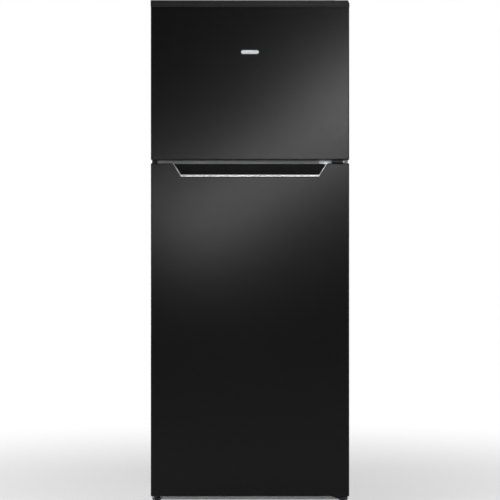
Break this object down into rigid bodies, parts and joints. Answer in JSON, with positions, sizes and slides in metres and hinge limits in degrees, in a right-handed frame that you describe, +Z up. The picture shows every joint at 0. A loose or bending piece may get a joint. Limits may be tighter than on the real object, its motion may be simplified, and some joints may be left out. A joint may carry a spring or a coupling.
{
  "type": "top freezer refrigerator",
  "caption": "Two-door refrigerator with the freezer on top, right-hand hinges, a recessed pull with a bright trim in the lower door, shelves, drawers and door bins.",
  "frame": {"origin": "on the floor, at the middle of the footprint", "axes": "+Z up, -Y out of the doors, +X to the hinge side"},
  "size_m": [0.7, 0.681, 1.773],
  "materials": {
    "black_door_steel": "satin, fine clear-coated",
    "black_plastic": "fine grain",
    "silver_grey_paint": "satin",
    "chrome_trim": "bright",
    "zinc_plate": "zinc plated",
    "white_liner": "semi-gloss",
    "insulation_foam": "rigid foam, sealed inside",
    "gasket_rubber": "matt",
    "clear_plastic": "clear",
    "shelf_glass": "clear, plastic edge",
    "grey_plastic": "matt",
    "compressor_shell": "black enamel",
    "aluminium_fin": "plain",
    "lamp_lens": "milky"
  },
  "bodies": {
    "cabinet": {"top_hinge_cover": "black_plastic", "bottom_hinge": "black_plastic", "drip_tray": "black_plastic", "cord_gland": "black_plastic", "cabinet_shell": "silver_grey_paint", "back_panel": "silver_grey_paint", "mullion_rail": "silver_grey_paint", "base_rail": "zinc_plate", "top_hinge": "zinc_plate", "center_hinge": "zinc_plate", "compressor_plate": "zinc_plate", "freezer_liner": "white_liner", "fridge_liner": "white_liner", "evaporator_cover": "white_liner", "ice_tray_frame": "white_liner", "air_duct_cover": "white_liner", "cabinet_foam": "insulation_foam", "freezer_shelf": "shelf_glass", "shelf_upper": "shelf_glass", "shelf_middle": "shelf_glass", "crisper_cover": "shelf_glass", "machine_deck": "grey_plastic", "condenser_fan_shroud": "grey_plastic", "machine_cover": "grey_plastic", "control_box": "grey_plastic", "compressor": "compressor_shell", "condenser_coil": "compressor_shell", "evaporator": "aluminium_fin", "lamp_cover": "lamp_lens"},
    "freezer_door": {"freezer_door_skin": "black_door_steel", "freezer_door_top_cap": "black_plastic", "freezer_door_bottom_cap": "black_plastic", "freezer_door_liner": "white_liner", "freezer_door_foam": "insulation_foam", "freezer_gasket": "gasket_rubber", "freezer_bin_upper": "clear_plastic", "freezer_bin_lower": "clear_plastic", "badge": "chrome_trim"},
    "fridge_door": {"fridge_door_skin": "black_door_steel", "fridge_door_top_cap": "black_plastic", "handle_trim": "chrome_trim", "fridge_door_bottom_cap": "black_plastic", "fridge_door_liner": "white_liner", "fridge_door_foam": "insulation_foam", "fridge_gasket": "gasket_rubber", "door_bin_upper": "clear_plastic", "door_bin_lower": "clear_plastic", "bottle_bin": "clear_plastic"},
    "condenser_fan": {"condenser_fan": "black_plastic"},
    "evaporator_fan": {"evaporator_fan": "white_liner"},
    "temperature_knob": {"temperature_knob": "white_liner"},
    "door_switch": {"door_switch": "grey_plastic"},
    "crisper_left": {"crisper_left": "clear_plastic"},
    "crisper_right": {"crisper_right": "clear_plastic"},
    "ice_tray": {"ice_tray": "grey_plastic"},
    "ice_bin": {"ice_bin": "clear_plastic"},
    "foot_left": {"foot_left": "black_plastic"},
    "foot_right": {"foot_right": "black_plastic"},
    "roller_left": {"roller_left": "grey_plastic"},
    "roller_right": {"roller_right": "grey_plastic"}
  },
  "joints": [
    {"name": "door_freezer_hinge", "type": "hinge", "parent": "cabinet", "child": "freezer_door", "pos_m": [0.322, -0.3105, 1.5], "axis": [0, 0, 1], "range_deg": [0, 130]},
    {"name": "door_fridge_hinge", "type": "hinge", "parent": "cabinet", "child": "fridge_door", "pos_m": [0.322, -0.3105, 0.613], "axis": [0, 0, 1], "range_deg": [0, 130]},
    {"name": "drawer_crisper_left", "type": "slide", "parent": "cabinet", "child": "crisper_left", "axis": [0, -1, 0], "range_m": [0, 0.17]},
    {"name": "drawer_crisper_right", "type": "slide", "parent": "cabinet", "child": "crisper_right", "axis": [0, -1, 0], "range_m": [0, 0.17]},
    {"name": "drawer_ice_bin", "type": "slide", "parent": "cabinet", "child": "ice_bin", "axis": [0, -1, 0], "range_m": [0, 0.2]},
    {"name": "door_switch_press", "type": "slide", "parent": "cabinet", "child": "door_switch", "axis": [0, 1, 0], "range_m": [0, 0.005], "stiffness_N_per_m": 150},
    {"name": "fan_condenser_spin", "type": "hinge", "parent": "cabinet", "child": "condenser_fan", "pos_m": [-0.145, 0.2415, 0.138], "axis": [1, 0, 0], "continuous": true},
    {"name": "fan_evaporator_spin", "type": "hinge", "parent": "cabinet", "child": "evaporator_fan", "pos_m": [0, 0.2235, 1.57], "axis": [0, 1, 0], "continuous": true},
    {"name": "foot_left_screw", "type": "slide", "parent": "cabinet", "child": "foot_left", "axis": [0, 0, -1], "range_m": [0, 0.012]},
    {"name": "foot_right_screw", "type": "slide", "parent": "cabinet", "child": "foot_right", "axis": [0, 0, -1], "range_m": [0, 0.012]},
    {"name": "ice_tray_twist", "type": "hinge", "parent": "cabinet", "child": "ice_tray", "pos_m": [-0.18, 0.0095, 1.445], "axis": [0, -1, 0], "range_deg": [0, 120], "stiffness_Nm_per_rad": 0.15},
    {"name": "knob_temperature_turn", "type": "hinge", "parent": "cabinet", "child": "temperature_knob", "pos_m": [-0.07, -0.1455, 1.144], "axis": [0, -1, 0], "range_deg": [-135, 135]},
    {"name": "roller_left_spin", "type": "hinge", "parent": "cabinet", "child": "roller_left", "pos_m": [-0.318, 0.2945, 0.018], "axis": [1, 0, 0], "continuous": true},
    {"name": "roller_right_spin", "type": "hinge", "parent": "cabinet", "child": "roller_right", "pos_m": [0.318, 0.2945, 0.018], "axis": [1, 0, 0], "continuous": true}
  ],
  "couplings": [
    {"joint": "drawer_crisper_left", "follows": "door_fridge_hinge", "m_per_rad": 0.0749},
    {"joint": "drawer_crisper_right", "follows": "door_fridge_hinge", "m_per_rad": 0.0749},
    {"joint": "drawer_ice_bin", "follows": "door_freezer_hinge", "m_per_rad": 0.0881}
  ]
}
